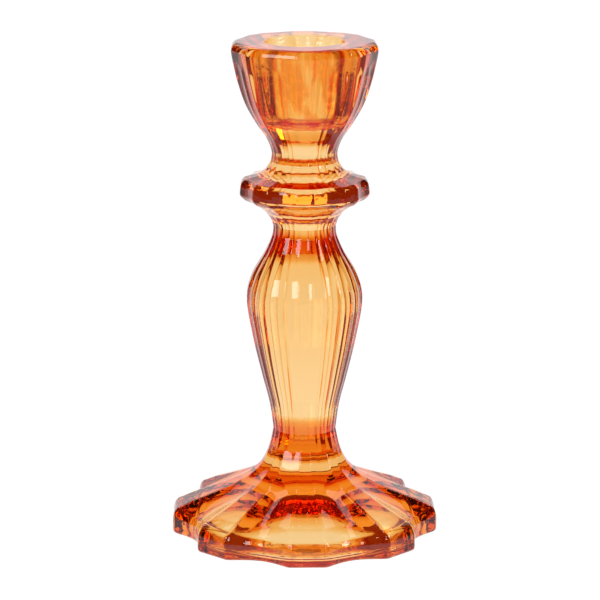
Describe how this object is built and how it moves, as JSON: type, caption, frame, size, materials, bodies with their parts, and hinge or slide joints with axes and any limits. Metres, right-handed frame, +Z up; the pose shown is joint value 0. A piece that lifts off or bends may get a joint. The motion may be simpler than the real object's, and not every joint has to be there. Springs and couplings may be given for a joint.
{
  "type": "candlestick",
  "caption": "Pressed amber glass candlestick: scalloped hollow foot, fluted baluster stem, lobed collar and tulip cup with a blind socket for one dinner candle.",
  "frame": {"origin": "centre of the resting ring, on the surface that the foot stands on", "axes": "+Z up along the candlestick's axis, towards the candle; the middle of one lobe faces -Y and another faces +X"},
  "size_m": [0.0856, 0.0856, 0.16],
  "materials": {
    "amber_glass": "fire-polished pressed glass, coloured through, with soft ridges and faint mould ripple"
  },
  "bodies": {
    "root": {"foot": "amber_glass", "stem": "amber_glass", "collar": "amber_glass", "candle_cup": "amber_glass"}
  },
  "joints": []
}
